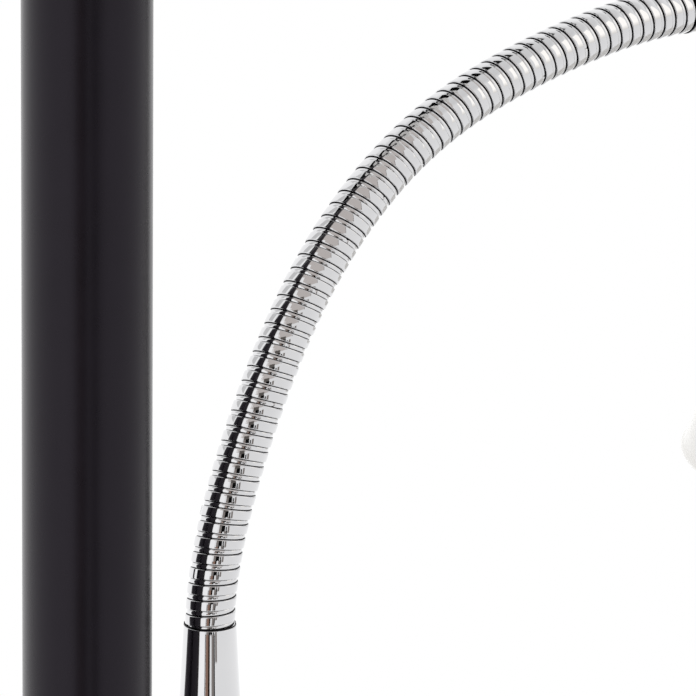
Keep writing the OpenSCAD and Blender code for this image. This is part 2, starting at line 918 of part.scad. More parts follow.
module bowl() {
    hole = holder_r + slip_gap;
    a_seat = -acos(bowl_seat_r / bowl_arc_r);
    a_rim = -acos(bowl_r / bowl_arc_r);
    skin = concat([[hole, 0]], arc(0, bowl_arc_z, bowl_arc_r, a_seat, a_rim, bowl_steps));
    lining = concat(
        [[hole, bowl_wall]],
        arc(0, bowl_arc_z, bowl_arc_r - bowl_wall, a_seat, a_rim, bowl_steps)
    );
    color("#efece6")
        translate([0, 0, bowl_z])
            union() {
                rotate_extrude()
                    polygon(concat(skin, reversed(lining)));
                translate([0, 0, bowl_depth - bowl_bead_r])
                    rotate_extrude()
                        translate([bowl_r - bowl_bead_r, 0])
                            circle(r = bowl_bead_r, $fn = 24);
            }
}

module bowl_ring() {
    color("#e6e4dc")
        translate([0, 0, bowl_z + bowl_wall])
            ring(holder_r + slip_gap, ring_r, ring_t);
}

module bowl_bulb_cap() {
    color("#c0c0c2")
        translate([0, 0, cap_foot])
            bulb_cap(cap_r, cap_len);
}

module bowl_bulb() {
    color("#f4f1e8")
        translate([0, 0, cap_foot + cap_len])
            bulb_glass(bulb_d / 2, bulb_len - cap_len, cap_r - glass_step, bulb_neck_r, bulb_neck_len);
}

base_pad();
base_weight();
base_cover();
lead_grommet();
foot_collar();
foot_stud();
foot_washer();
foot_nut();
pole_plug_bottom();
pole_lower();
tube_coupler(lower_joint);  // pole_coupler
pole_middle();
tube_coupler(housing_joint);  // housing_coupler
pole_upper();
pole_plug_top();
switch_housing();
housing_lid();
lid_screws();
grub_screws();
friction_washer();
switch_frame(switch_top_z);  // switch_bowl
switch_frame(switch_low_z);  // switch_reading
rocker(switch_top_z);  // rocker_bowl
rocker(switch_low_z);  // rocker_reading
lower_ferrule();
arm_nipple();
arm_nut();
hose_foot();  // hose_01
hose_link(1);  // hose_02
hose_link(2);  // hose_03
hose_link(3);  // hose_04
hose_link(4);  // hose_05
hose_link(5);  // hose_06
hose_link(6);  // hose_07
hose_link(7);  // hose_08
hose_link(8);  // hose_09
hose_link(9);  // hose_10
hose_link(10);  // hose_11
hose_link(11);  // hose_12
hose_link(12);  // hose_13
hose_link(13);  // hose_14
hose_link(14);  // hose_15
hose_end();  // hose_16
upper_ferrule();
head_nipple();
head_nut();
reading_cup();
reading_lampholder();
reading_shade();
reading_ring();
reading_bulb_cap();
reading_bulb();
bowl_nipple();
bowl_cup();
bowl_lampholder();
bowl();
bowl_ring();
bowl_bulb_cap();
bowl_bulb();
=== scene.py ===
"""Floor lamp with a bowl uplighter and a gooseneck reading arm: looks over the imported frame."""
import json
import math

import bpy
from mathutils import Matrix, Vector


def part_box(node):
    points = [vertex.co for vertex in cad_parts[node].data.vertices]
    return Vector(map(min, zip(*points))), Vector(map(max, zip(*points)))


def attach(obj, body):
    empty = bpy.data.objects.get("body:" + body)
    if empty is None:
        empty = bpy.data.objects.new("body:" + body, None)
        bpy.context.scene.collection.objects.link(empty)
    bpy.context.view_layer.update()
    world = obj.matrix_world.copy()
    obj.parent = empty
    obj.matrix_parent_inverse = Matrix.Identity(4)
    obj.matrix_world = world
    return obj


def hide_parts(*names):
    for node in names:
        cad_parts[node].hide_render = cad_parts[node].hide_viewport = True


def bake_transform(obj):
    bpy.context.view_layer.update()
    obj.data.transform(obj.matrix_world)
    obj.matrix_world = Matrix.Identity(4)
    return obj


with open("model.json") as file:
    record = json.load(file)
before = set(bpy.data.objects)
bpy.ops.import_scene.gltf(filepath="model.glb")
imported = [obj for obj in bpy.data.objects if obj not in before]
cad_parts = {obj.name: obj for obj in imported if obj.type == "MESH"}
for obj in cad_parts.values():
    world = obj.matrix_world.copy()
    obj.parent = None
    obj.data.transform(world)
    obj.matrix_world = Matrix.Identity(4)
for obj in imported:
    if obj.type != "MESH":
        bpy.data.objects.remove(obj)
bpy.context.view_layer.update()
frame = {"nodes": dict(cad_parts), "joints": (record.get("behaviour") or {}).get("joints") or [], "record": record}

MM = 0.001
UP = Vector((0, 0, 1))

# The arm's own plane, from the record's joints
joint_at = {joint["name"]: Vector(joint["pos_m"]) for joint in frame["joints"]}
joint_axis = {joint["name"]: Vector(joint["axis"]) for joint in frame["joints"]}
pivots = [joint_at[name] for name in sorted(joint_at) if name.startswith("hose_bend")]
arm_foot_at = joint_at["arm_turn"]
arm_out = joint_axis["hose_bend_01"].cross(UP).normalized()
arm_side = joint_axis["hose_bend_01"].normalized()

# The gooseneck in mm: from turn to turn, pivot to pivot, last pivot to end, and end to end
HOSE_PITCH = 2.9
LINK_LEN = 4 * HOSE_PITCH
LAST_LEN = 5 * HOSE_PITCH
FREE_LEN = 62.5 * HOSE_PITCH
END_TILT = math.radians(87.5)

# Its neighbours in mm: the lower rim over the arm's foot, and what follows on the gooseneck's end
RIM_ABOVE_FOOT = 58.0
UPPER_FERRULE_LEN = 40.0
HEAD_REACH = 60.5
rim_at = arm_foot_at + UP * RIM_ABOVE_FOOT * MM


def tilted(angle):
    """Direction in the arm's plane, at an angle from upright"""
    return arm_out * math.sin(angle) + UP * math.cos(angle)


arm_end = pivots[-1] + tilted(END_TILT) * LAST_LEN * MM
head_at = arm_end + tilted(END_TILT) * HEAD_REACH * MM
head_axis = tilted(END_TILT + math.pi / 2)


# Colours and nodes
def srgb(code):
    """Linear colour from a hex code"""
    parts = [int(code[i:i + 2], 16) / 255 for i in (1, 3, 5)]
    return (*[c / 12.92 if c <= 0.04045 else ((c + 0.055) / 1.055) ** 2.4 for c in parts], 1)


def add(tree, kind, inputs=None, **settings):
    """One node; each input is a value or another node's output"""
    node = tree.nodes.new(kind)
    for key, value in settings.items():
        setattr(node, key, value)
    for key, value in (inputs or {}).items():
        if isinstance(value, bpy.types.NodeSocket):
            tree.links.new(value, node.inputs[key])
        else:
            node.inputs[key].default_value = value
    return node


def finish_of(name, colour, **sockets):
    """A material with its tree, its shader and the place on the object as a coordinate"""
    material = bpy.data.materials.new(name)
    material.use_nodes = True
    tree = material.node_tree
    shader = tree.nodes["Principled BSDF"]
    shader.inputs["Base Color"].default_value = srgb(colour)
    for key, value in sockets.items():
        shader.inputs[key.replace("_", " ")].default_value = value
    place = add(tree, "ShaderNodeTexCoord").outputs["Object"]
    return material, tree, shader, place


def noise(tree, place, size_mm, detail=2.0):
    """Soft noise whose lumps are about size_mm across, from 0 to 1"""
    lumps = add(tree, "ShaderNodeTexNoise", {"Vector": place, "Scale": 1 / (size_mm * MM), "Detail": detail})
    return lumps.outputs["Fac"]


def roughened(tree, shader, amount, smooth, rough):
    """Roughness between two levels, by a value from 0 to 1"""
    level = add(tree, "ShaderNodeMapRange", {"Value": amount, "To Min": smooth, "To Max": rough})
    tree.links.new(level.outputs["Result"], shader.inputs["Roughness"])


def tinted(tree, shader, amount, dark, light):
    """Colour between two codes, by a value from 0 to 1"""
    mix = add(tree, "ShaderNodeMix", {0: amount, 6: srgb(dark), 7: srgb(light)}, data_type="RGBA")
    tree.links.new(mix.outputs[2], shader.inputs["Base Color"])


def bumped(tree, shader, amount, depth_mm):
    """Fine relief of a depth in mm, by a value from 0 to 1"""
    bump = add(tree, "ShaderNodeBump", {"Height": amount, "Distance": depth_mm * MM, "Strength": 1.0})
    tree.links.new(bump.outputs["Normal"], shader.inputs["Normal"])


# Satin black lacquer on steel: deep black with a soft, slightly uneven sheen
lacquer, tree, shader, place = finish_of("black_lacquer", "#0E0C10", Roughness=0.27, Specular_IOR_Level=0.23)
shader.inputs["Specular Tint"].default_value = srgb("#F7EBFD")
flow = noise(tree, place, 9, 3)
roughened(tree, shader, flow, 0.25, 0.3)
tinted(tree, shader, flow, "#0B090D", "#120F15")
bumped(tree, shader, noise(tree, place, 1.6), 0.006)

# Chrome plate: mirror bright, with the faint haze of handling
chrome, tree, shader, place = finish_of("chrome_plate", "#D0D0D2", Metallic=1.0, Roughness=0.04)
haze = noise(tree, place, 14, 4)
roughened(tree, shader, haze, 0.02, 0.06)
tinted(tree, shader, haze, "#CDCDCF", "#D4D4D5")

# Drawn chrome-plated wire of the gooseneck: bright, with faint marks along the wire
wire_chrome, tree, shader, place = finish_of("chrome_wire", "#D3D3D5", Metallic=1.0, Roughness=0.05)
roughened(tree, shader, noise(tree, place, 0.5, 3), 0.03, 0.07)
tinted(tree, shader, noise(tree, place, 6, 2), "#CACACC", "#D3D3D4")

# Painted shade in the grooves of the gooseneck and in the ferrules' rims and wells: dark and dull steel where the
# chrome lies in shade
painted_crevice_shade, tree, shader, place = finish_of("crevice_shade_paint", "#151416", Metallic=1.0, Roughness=0.45)
crevice_shade_mottle = noise(tree, place, 0.8, 3)
tinted(tree, shader, crevice_shade_mottle, "#0E0D0F", "#232224")
roughened(tree, shader, crevice_shade_mottle, 0.35, 0.55)

# Bright zinc plate on nuts and tubes: pale, softly mottled, a little blue
zinc, tree, shader, place = finish_of("zinc_plate", "#AEB2B6", Metallic=1.0, Roughness=0.32)
spangle = noise(tree, place, 2.2, 3)
tinted(tree, shader, spangle, "#A1A5AA", "#BDBFBF")
roughened(tree, shader, spangle, 0.24, 0.4)

# Cast iron as it left the sand: dark, grainy
iron, tree, shader, place = finish_of("cast_iron", "#4A4A4C", Metallic=0.6, Roughness=0.7)
sand = noise(tree, place, 1.2, 5)
tinted(tree, shader, sand, "#39393B", "#58585A")
bumped(tree, shader, sand, 0.25)

# Dull black rubber, dusty in the pores
rubber, tree, shader, place = finish_of("black_rubber", "#1C1C1D", Roughness=0.75)
pores = noise(tree, place, 0.7, 4)
tinted(tree, shader, pores, "#171718", "#29292A")
bumped(tree, shader, pores, 0.05)

# Moulded black plastic of the housing: fine spark-eroded grain, low sheen
moulded, tree, shader, place = finish_of("housing_plastic", "#161517", Roughness=0.48)
grain = noise(tree, place, 0.45, 3)
roughened(tree, shader, grain, 0.42, 0.56)
tinted(tree, shader, noise(tree, place, 12, 2), "#131214", "#1A191B")
bumped(tree, shader, grain, 0.02)

# Smooth black nylon of the switches: glossier than the housing, with faint flow lines
nylon, tree, shader, place = finish_of("switch_plastic", "#0F0F10", Roughness=0.22)
sheen = noise(tree, place, 3, 2)
roughened(tree, shader, sheen, 0.18, 0.28)
tinted(tree, shader, sheen, "#0D0D0E", "#141415")

# White heat-proof plastic of the lampholders: slightly warm, soft gloss
white_plastic, tree, shader, place = finish_of("white_plastic", "#E4E1D8", Roughness=0.35,
                                               Subsurface_Weight=0.05)
warmth = noise(tree, place, 8, 2)
tinted(tree, shader, warmth, "#DFDBD0", "#E9E6DE")
roughened(tree, shader, warmth, 0.3, 0.42)

# White enamel on both sides of the bowl and the reading shade: glossy, and slightly uneven as sprayed
enamel, tree, shader, place = finish_of("white_enamel", "#F4F2EE", Roughness=0.26, Coat_Weight=0.5,
                                        Coat_Roughness=0.06)
spray = noise(tree, place, 2.0, 3)
tinted(tree, shader, spray, "#F2F0EB", "#F6F4F1")
bumped(tree, shader, spray, 0.01)

# Opal glass: milky body under a clear gloss
opal, tree, shader, place = finish_of("opal_glass", "#F2EEE4", Roughness=0.12, Subsurface_Weight=0.35)
shader.inputs["Subsurface Radius"].default_value = (0.004, 0.0035, 0.003)
tinted(tree, shader, noise(tree, place, 16, 2), "#EFEADF", "#F6F3EB")

# Pressed aluminium of the bulb caps: soft grey, with the marks of the press
aluminium, tree, shader, place = finish_of("pressed_aluminium", "#B4B3B0", Metallic=1.0, Roughness=0.38)
press = noise(tree, place, 1.5, 3)
tinted(tree, shader, press, "#A5A4A1", "#C2C1BE")
roughened(tree, shader, press, 0.3, 0.48)


def piece_of(name, verts, faces, materials):
    """An object made of points and faces"""
    mesh = bpy.data.meshes.new(name)
    mesh.from_pydata(verts, [], faces)
    for material in materials:
        mesh.materials.append(material)
    piece = bpy.data.objects.new(name, mesh)
    bpy.context.scene.collection.objects.link(piece)
    return piece


def smoothed(mesh, which, crease=None):
    """Gives each face its material and a smooth look, up to an angle where an edge stays sharp"""
    mesh.polygons.foreach_set("material_index", which)
    mesh.polygons.foreach_set("use_smooth", [True] * len(which))
    if crease:
        mesh.set_sharp_from_angle(angle=crease)
    mesh.update()


# Turned pieces
CREASE = math.radians(28)


def arc(centre_r, centre_z, radius, start, end, steps):
    """Points of an arc in an outline, in mm; angles in degrees from outward, towards up"""
    points = []
    for k in range(steps + 1):
        a = math.radians(start + (end - start) * k / steps)
        points.append((centre_r + radius * math.cos(a), centre_z + radius * math.sin(a)))
    return points


def onto(origin, axis):
    """Transform that takes the Z axis to a given axis at a given place"""
    return Matrix.Translation(origin) @ axis.to_track_quat("Z", "Y").to_matrix().to_4x4()


def raised(height_mm):
    """Transform to a height over the floor, on the pole's axis"""
    return Matrix.Translation((0, 0, height_mm * MM))


def turned(name, outline, materials, body, nodes, place, columns=192, pick=None, notch=None):
    """A closed outline of (radius, height) in mm turned about an axis

    pick gives the faces after a point of the outline their material, notch moves a point in or out.
    """
    verts = []
    faces = []
    on_axis = {}
    rows = []
    for k, (r, z) in enumerate(outline):
        if r < 1e-6:
            on_axis[k] = len(verts)
            verts.append(place @ Vector((0, 0, z * MM)))
            rows.append(None)
            continue
        rows.append(len(verts))
        for c in range(columns):
            a = 2 * math.pi * c / columns
            reach = r + (notch(k, c) if notch else 0)
            verts.append(place @ Vector((reach * math.cos(a) * MM, reach * math.sin(a) * MM, z * MM)))
    which = []
    count = len(outline)
    for k in range(count):
        n = (k + 1) % count
        if rows[k] is None and rows[n] is None:
            continue
        for c in range(columns):
            d = (c + 1) % columns
            if rows[k] is None:
                face = (on_axis[k], rows[n] + c, rows[n] + d)
            elif rows[n] is None:
                face = (rows[k] + d, rows[k] + c, on_axis[n])
            else:
                face = (rows[k] + d, rows[k] + c, rows[n] + c, rows[n] + d)
            faces.append(face[::-1])
            which.append(pick(k) if pick else 0)
    piece = piece_of(name, verts, faces, materials)
    smoothed(piece.data, which, CREASE)
    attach(piece, body)
    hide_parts(*nodes)


# Pole tubes, with the thin shadow line of each socket joint: width of the worn edge at foot and top, in mm
POLE_WALL = 1.2
POLE_BORE_R = 12.55
POLE_ROWS = 12
EDGE_SWELL = 0.3
pole_edges = {"pole_lower": (0.25, 0.35), "pole_middle": (0.35, 0.35), "pole_upper": (0.35, 0.25)}
for node, (foot_edge, top_edge) in pole_edges.items():
    tube_foot, tube_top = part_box(node)
    low, high, r = tube_foot.z / MM, tube_top.z / MM, tube_top.x / MM
    plain = high - low - foot_edge - top_edge
    tube = [(r - POLE_WALL, low), (r - foot_edge, low)]
    tube += [(r - foot_edge * EDGE_SWELL, low + foot_edge * EDGE_SWELL), (r, low + foot_edge)]
    tube += [(r, low + foot_edge + plain * k / POLE_ROWS) for k in range(1, POLE_ROWS)]
    tube += [(r, high - top_edge), (r - top_edge * EDGE_SWELL, high - top_edge * EDGE_SWELL)]
    tube += [(r - top_edge, high), (r - POLE_WALL, high)]
    turned(node + "_tube", tube, [lacquer], "stand", [node], Matrix.Identity(4))

# Ferrules at both ends of the gooseneck: tapered, with painted shade on the cut edge of the rim and in the well
# round the hose
FERRULE_RIM_R = 5.2
FERRULE_SLOPE = math.tan(math.radians(3.2))
FOOT_EDGE = 0.35
RIM_EDGE = 0.12
SHADED_LIP = 0.3
HOSE_WELL_R = 5.02
HOSE_WELL_DEEP = 12
TUBE_HOLE_R = 2.7
# How far each rim reaches over the hose, past the end of its free length
LOWER_LAP = 0.3
UPPER_LAP = 2.0


def ferrule(name, length, body, node, origin, axis):
    """A ferrule of a length in mm, its foot at the origin and its rim along the axis"""
    wide = FERRULE_RIM_R + length * FERRULE_SLOPE
    cut = length - SHADED_LIP
    side = cut - FOOT_EDGE - RIM_EDGE
    outline = [(TUBE_HOLE_R, 0), (wide - FOOT_EDGE, 0)]
    outline += arc(wide - FOOT_EDGE, FOOT_EDGE, FOOT_EDGE, -90, 0, 4)
    outline += [(wide - length * FERRULE_SLOPE * k / 8, FOOT_EDGE + side * k / 8) for k in range(1, 8)]
    outline += arc(FERRULE_RIM_R - RIM_EDGE, cut - RIM_EDGE, RIM_EDGE, 2, 80, 4)
    # From this point on, the rim's edge, the well and the bore get painted shade
    shade_from = len(outline) - 1
    outline += [(5.1, cut), (5.06, length), (HOSE_WELL_R, length), (HOSE_WELL_R, length - HOSE_WELL_DEEP)]
    outline.append((TUBE_HOLE_R, length - HOSE_WELL_DEEP))
    turned(name, outline, [chrome, painted_crevice_shade], body, [node], onto(origin, axis),
           pick=lambda k: k >= shade_from)


ferrule("arm_ferrule_low", RIM_ABOVE_FOOT + LOWER_LAP, "arm_foot", "lower_ferrule", arm_foot_at, UP)
ferrule("arm_ferrule_high", UPPER_FERRULE_LEN + UPPER_LAP, "arm_head", "upper_ferrule",
        arm_end + tilted(END_TILT) * UPPER_FERRULE_LEN * MM, -tilted(END_TILT))

# Collar where the pole leaves the base: low, hollow-cheeked, with a worn upper edge
COLLAR_R = 21
COLLAR_H = 12
collar_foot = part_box("foot_collar")[0].z / MM
collar = [(POLE_BORE_R, 0), (COLLAR_R - 0.2, 0), (COLLAR_R, 0.2), (COLLAR_R, 1.8), (COLLAR_R - 0.1, 2.1)]
collar += arc(COLLAR_R, COLLAR_H, 6.3, 262, 192, 20)
collar += [(14.7, COLLAR_H - 0.3), (14.5, COLLAR_H), (POLE_BORE_R, COLLAR_H)]
turned("foot_collar_turned", collar, [chrome], "stand", ["foot_collar"], raised(collar_foot))

# Bell under the bowl, with its skirt over the pole's end
BELL_H = 50.0
BELL_FOOT_R = 14.2
BELL_RIM_R = 31.0
BELL_WALL = 1.2
BELL_FLOOR = 1.5
BELL_ROWS = 32
SKIRT_LEN = 12
LEAD_HOLE_R = 5
bowl_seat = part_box("bowl_cup")[1].z / MM
bell = [(POLE_BORE_R, -BELL_H), (POLE_BORE_R, -BELL_H - SKIRT_LEN)]
bell += [(13.7, -BELL_H - SKIRT_LEN), (13.92, -BELL_H - SKIRT_LEN + 0.2)]
bell_inside = []
for k in range(BELL_ROWS + 1):
    r = BELL_FOOT_R + (BELL_RIM_R - BELL_FOOT_R) * math.sin(math.pi / 2 * k / BELL_ROWS)
    z = BELL_H * k / BELL_ROWS - BELL_H
    bell.append((r, z))
    if z > BELL_FLOOR + 0.1 - BELL_H:
        bell_inside.append((r - BELL_WALL, z))
bell += bell_inside[::-1]
bell += [(bell_inside[0][0] - 1, BELL_FLOOR - BELL_H), (LEAD_HOLE_R, BELL_FLOOR - BELL_H)]
bell.append((LEAD_HOLE_R, -BELL_H))
turned("bowl_bell", bell, [lacquer], "stand", ["bowl_cup"], raised(bowl_seat))

# The bowl: spun sheet enamelled white, its edge rolled inward to a bead
BOWL_HOLE_R = 19.55
BOWL_ARC_Z = 158.903
BOWL_ARC_R = 161.898
BOWL_FOOT_ANGLE = -78.96
BOWL_EDGE_ANGLE = -23.4
BOWL_WALL = 1.2
bowl_skin = [(BOWL_HOLE_R, 0)] + arc(0, BOWL_ARC_Z, BOWL_ARC_R, BOWL_FOOT_ANGLE, BOWL_EDGE_ANGLE, 60)
bowl_skin += arc(148.2, 96.2, 1.8, -60, 215, 18)
bowl_skin += arc(0, BOWL_ARC_Z, BOWL_ARC_R - BOWL_WALL, BOWL_EDGE_ANGLE - 0.2, BOWL_FOOT_ANGLE, 60)
bowl_skin.append((BOWL_HOLE_R, BOWL_WALL))
turned("bowl_spun", bowl_skin, [enamel], "stand", ["bowl"], raised(bowl_seat), 288)

# Bell shade of the reading head, its mouth rolled to a bead
SHADE_HOLE_R = 13.55
SHADE_SEAT = 30
SHADE_WALL = 1
head_place = onto(head_at, head_axis)
shade_slope = [(20.76 + 24.84 * k / 10, 2.63 + 71.24 * k / 10) for k in range(1, 10)]
shade_skin = [(SHADE_HOLE_R, 0)] + arc(17, 4, 4, -90, -20, 12) + shade_slope
shade_skin += arc(45.5, 75, 1.3, -60, 200, 16)
shade_skin += [(r - SHADE_WALL, z) for r, z in reversed(shade_slope)]
shade_skin += arc(17, 4, 4 - SHADE_WALL, -20, -90, 12) + [(SHADE_HOLE_R, SHADE_WALL)]
turned("reading_shade_spun", shade_skin, [enamel], "arm_head", ["reading_shade"],
       head_place @ raised(SHADE_SEAT), 224)

# Rings that hold the bowl and the shade to their lampholders: gripped by ribs round the outside
RIB_DEEP = 0.6
RIB_COLUMNS = 8


def ribbed_ring(name, bore, outer, thick, ribs, body, node, place):
    """A ring by its bore, outer radius and thickness in mm, and its number of ribs"""
    outline = [(bore, 0), (outer - 0.9, 0), (outer - 0.5, 0.3), (outer, 0.8)]
    outline += [(outer, thick - 0.8), (outer - 0.5, thick - 0.3), (outer - 0.9, thick), (bore, thick)]
    grooved = (2, 3, 4, 5)
    turned(name, outline, [white_plastic], body, [node], place, ribs * RIB_COLUMNS,
           notch=lambda k, c: -RIB_DEEP * (c % RIB_COLUMNS > 4) if k in grooved else 0)


ribbed_ring("bowl_ring_ribbed", BOWL_HOLE_R, 28, 6, 44, "stand", "bowl_ring", raised(bowl_seat + BOWL_WALL))
ribbed_ring("reading_ring_ribbed", SHADE_HOLE_R, 16.7, 5, 30, "arm_head", "reading_ring",
            head_place @ raised(SHADE_SEAT + SHADE_WALL))

# Bulbs: a globe drawn in to its neck in one curve
GLOBE_LOW_ANGLE = -48
READING_BULB_SEAT = 42.4


def globe(name, r, height, foot_r, neck_r, neck_len, body, node, place):
    """A bulb's glass in mm: its radius and height, its foot's radius, and its neck's radius and length"""
    low = math.radians(GLOBE_LOW_ANGLE)
    start = (neck_r, neck_len)
    end = (r * math.cos(low), height - r + r * math.sin(low))
    reach = math.dist(start, end)
    outline = [(0, 0), (foot_r, 0), ((foot_r + neck_r) / 2, neck_len / 2)]
    for k in range(12):
        t = k / 12
        near_start = (1 - t) ** 2 * (1 + 2 * t)
        near_end = t * t * (3 - 2 * t)
        lean = reach * t * (1 - t) ** 2
        swell = reach * t * t * (t - 1)
        outline.append((near_start * start[0] + near_end * end[0] + 0.15 * lean - swell * math.sin(low),
                        near_start * start[1] + near_end * end[1] + lean + swell * math.cos(low)))
    outline += arc(0, height - r, r, GLOBE_LOW_ANGLE, 88, 40) + [(0, height)]
    turned(name, outline, [opal], body, [node], place, 128)


globe("bowl_globe", 30, 78, 12.9, 14.5, 9, "stand", "bowl_bulb", raised(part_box("bowl_bulb")[0].z / MM))
globe("reading_globe", 22.5, 53, 6.7, 8, 7, "arm_head", "reading_bulb",
      head_place @ raised(READING_BULB_SEAT))


# The gooseneck: a flat-crowned wire wound over a round one, along the arm's curve
FIRST_KNOT = 1.5 * HOSE_PITCH - LINK_LEN / 2
HOSE_HELD = 10.15
knots = [pivots[0] - UP * LINK_LEN / 2 * MM]
for here, there in zip(pivots, pivots[1:]):
    knots.append((here + there) / 2)
knots.append(pivots[-1] + tilted(END_TILT) * LINK_LEN / 2 * MM)


def tilt_at(knot):
    """Tilt of the hose at a knot, one of the places halfway between the pivots"""
    if knot <= 0:
        return 0.0
    if knot >= len(pivots):
        return END_TILT
    run = pivots[knot] - pivots[knot - 1]
    return math.atan2(run.dot(arm_out), run.z)


tilts = [tilt_at(k) for k in range(len(knots))]


def curve_at(s):
    """Point and tilt of the hose's centre at s mm above the lower rim"""
    along = (s - FIRST_KNOT) / LINK_LEN
    span = min(max(int(math.floor(along)), 0), len(pivots) - 1)
    t = along - span
    if along < 0:
        return knots[0] + UP * (s - FIRST_KNOT) * MM, 0.0
    if along > len(pivots):
        past = (along - len(pivots)) * LINK_LEN
        return knots[-1] + tilted(END_TILT) * past * MM, END_TILT
    bend = tilts[span + 1] - tilts[span]
    tilt = tilts[span] + bend * t
    radius = LINK_LEN / 2 / math.tan(bend / 2)
    across = math.cos(tilts[span]) - math.cos(tilt)
    rise = math.sin(tilt) - math.sin(tilts[span])
    return knots[span] + (arm_out * across + UP * rise) * radius * MM, tilt


# Sections of the two wires: (along the hose, radius) in mm, and whether the face stays chrome; the faces down in
# the crevices between the turns get painted shade
HOSE_R = 4.95
CROWN_HALF = 0.92
CROWN_CORNER = 0.2
CROWN_TAPER = 0.12
# Radius down to which the crown stays chrome; below it the flanks get painted shade
UNSHADED_DOWN_TO = HOSE_R - CROWN_CORNER
crown = [(-CROWN_HALF + CROWN_TAPER, 3.5, 0), (-CROWN_HALF, UNSHADED_DOWN_TO - 0.12, 0)]
crown.append((-CROWN_HALF, UNSHADED_DOWN_TO, 1))
for k in range(1, 5):
    a = math.radians(90 * k / 4)
    crown.append((-CROWN_HALF + CROWN_CORNER * (1 - math.cos(a)),
                  HOSE_R - CROWN_CORNER * (1 - math.sin(a)), 1))
crown.append((0, HOSE_R, 1))
crown += [(-x, r, unshaded) for x, r, unshaded in crown[-2::-1]]
crown.append((0, 3.3, 0))
ROUND_R = 0.95
ROUND_AT = 3.72
ROUND_POINTS = 14
# The round wire: only its top stays chrome, the rest, down between the turns, gets painted shade
bead = []
for k in range(ROUND_POINTS):
    a = math.radians(90 + 360 * k / ROUND_POINTS)
    bead.append((HOSE_PITCH / 2 + ROUND_R * math.cos(a), ROUND_AT + ROUND_R * math.sin(a), math.sin(a) > 0.5))

# Where the winding starts, and how bending the arm has spread it: (place on the hose, shift) in mm
HOSE_COLUMNS = 48
TURN_START = math.radians(294)
TURN_DRIFT = ((0, -0.7), (25, -0.3), (55, 0.42), (75, 0.35), (118, -0.18), (142, 0.0), (165, 0.7),
              (185, 1.2))


def drift(s):
    """How far the turns sit from an even winding at a place on the hose, in mm"""
    for (low, before), (high, after) in zip(TURN_DRIFT, TURN_DRIFT[1:]):
        if s < high:
            t = max(s - low, 0) / (high - low)
            return before + (after - before) * t * t * (3 - 2 * t)
    return TURN_DRIFT[-1][1]


def hose_point(step, along, radius):
    """Point of a wire: step columns round the hose, offset along it, at a radius"""
    s = step * HOSE_PITCH / HOSE_COLUMNS + along
    s += drift(s)
    middle, tilt = curve_at(s)
    turn = 2 * math.pi * step / HOSE_COLUMNS + TURN_START
    out = tilted(tilt + math.pi / 2)
    return middle + (out * math.cos(turn) + arm_side * math.sin(turn)) * radius * MM


def stretch(name, low_s, high_s):
    """Both wires of the hose between two places along it"""
    verts = []
    faces = []
    which = []
    for section in (crown, bead):
        count = len(section)
        base = len(verts)
        middle = section[0][0] if section is bead else 0.0
        first = round((low_s - drift(low_s) - middle) * HOSE_COLUMNS / HOSE_PITCH)
        last = round((high_s - drift(high_s) - middle) * HOSE_COLUMNS / HOSE_PITCH)
        for step in range(first, last + 1):
            for x, r, unshaded in section:
                verts.append(hose_point(step, x, r))
        for row in range(last - first):
            for k in range(count):
                n = (k + 1) % count
                a = base + row * count
                faces.append((a + k, a + n, a + count + n, a + count + k))
                # A face keeps the chrome only where both its edges do; the rest is painted shade
                unshaded = section[k][2] and section[n][2]
                which.append(0 if unshaded else 1)
        faces.append(tuple(range(base + count - 1, base - 1, -1)))
        which.append(1)
        top = base + (last - first) * count
        faces.append(tuple(range(top, top + count)))
        which.append(1)
    piece = piece_of(name, verts, faces, [wire_chrome, painted_crevice_shade])
    smoothed(piece.data, which)
    return piece


foot_stretch = stretch("gooseneck_01", -HOSE_HELD, FIRST_KNOT)
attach(foot_stretch, "arm_foot")
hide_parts("hose_01")
for k in range(len(pivots)):
    low_s = FIRST_KNOT + k * LINK_LEN
    piece = stretch("gooseneck_%02d" % (k + 2), low_s, low_s + LINK_LEN)
    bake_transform(piece)
    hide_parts("hose_%02d" % (k + 2))
head_stretch = stretch("gooseneck_17", FIRST_KNOT + len(pivots) * LINK_LEN, FREE_LEN + HOSE_HELD)
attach(head_stretch, "arm_head")


# Finishes of the nodes that keep their CAD shape
finishes = {
    "black_paint": lacquer,
    "white_enamel": enamel,
    "chrome": chrome,
    "zinc_plated": zinc,
    "cast_iron": iron,
    "rubber": rubber,
    "housing_abs": moulded,
    "switch_nylon": nylon,
    "white_thermoplastic": white_plastic,
    "opal_glass": opal,
    "cap_aluminium": aluminium,
}
for entry in frame["record"]["subparts"]:
    node = frame["nodes"][entry["node"]]
    for slot in node.material_slots:
        slot.material = finishes[entry["material_slot"]]

# Camera at the photograph's angle and distance; what it aims at is given in mm from the lower rim
SIGHT_AZIMUTH = math.radians(-23.15)
SIGHT_ELEVATION = math.radians(15.05)
SIGHT_ROLL = math.radians(0.54)
SIGHT_DISTANCE = 1.415
SIGHT_LENS = 377.2
AIM_RIGHT = 26.28
AIM_ABOVE = 53.78
sight = Vector((math.sin(SIGHT_AZIMUTH) * math.cos(SIGHT_ELEVATION),
                -math.cos(SIGHT_AZIMUTH) * math.cos(SIGHT_ELEVATION),
                math.sin(SIGHT_ELEVATION)))
right = UP.cross(sight).normalized()
above = sight.cross(right)
aim = rim_at + right * AIM_RIGHT * MM + above * AIM_ABOVE * MM
camera = bpy.data.objects.new("camera", bpy.data.cameras.new("camera"))
camera.data.lens = SIGHT_LENS
camera.data.clip_end = 100
level = Matrix((right, above, sight)).transposed() @ Matrix.Rotation(SIGHT_ROLL, 3, "Z")
camera.matrix_world = Matrix.Translation(aim + sight * SIGHT_DISTANCE) @ level.to_4x4()
bpy.context.scene.collection.objects.link(camera)
bpy.context.scene.camera = camera
bpy.context.scene.view_settings.view_transform = "Standard"

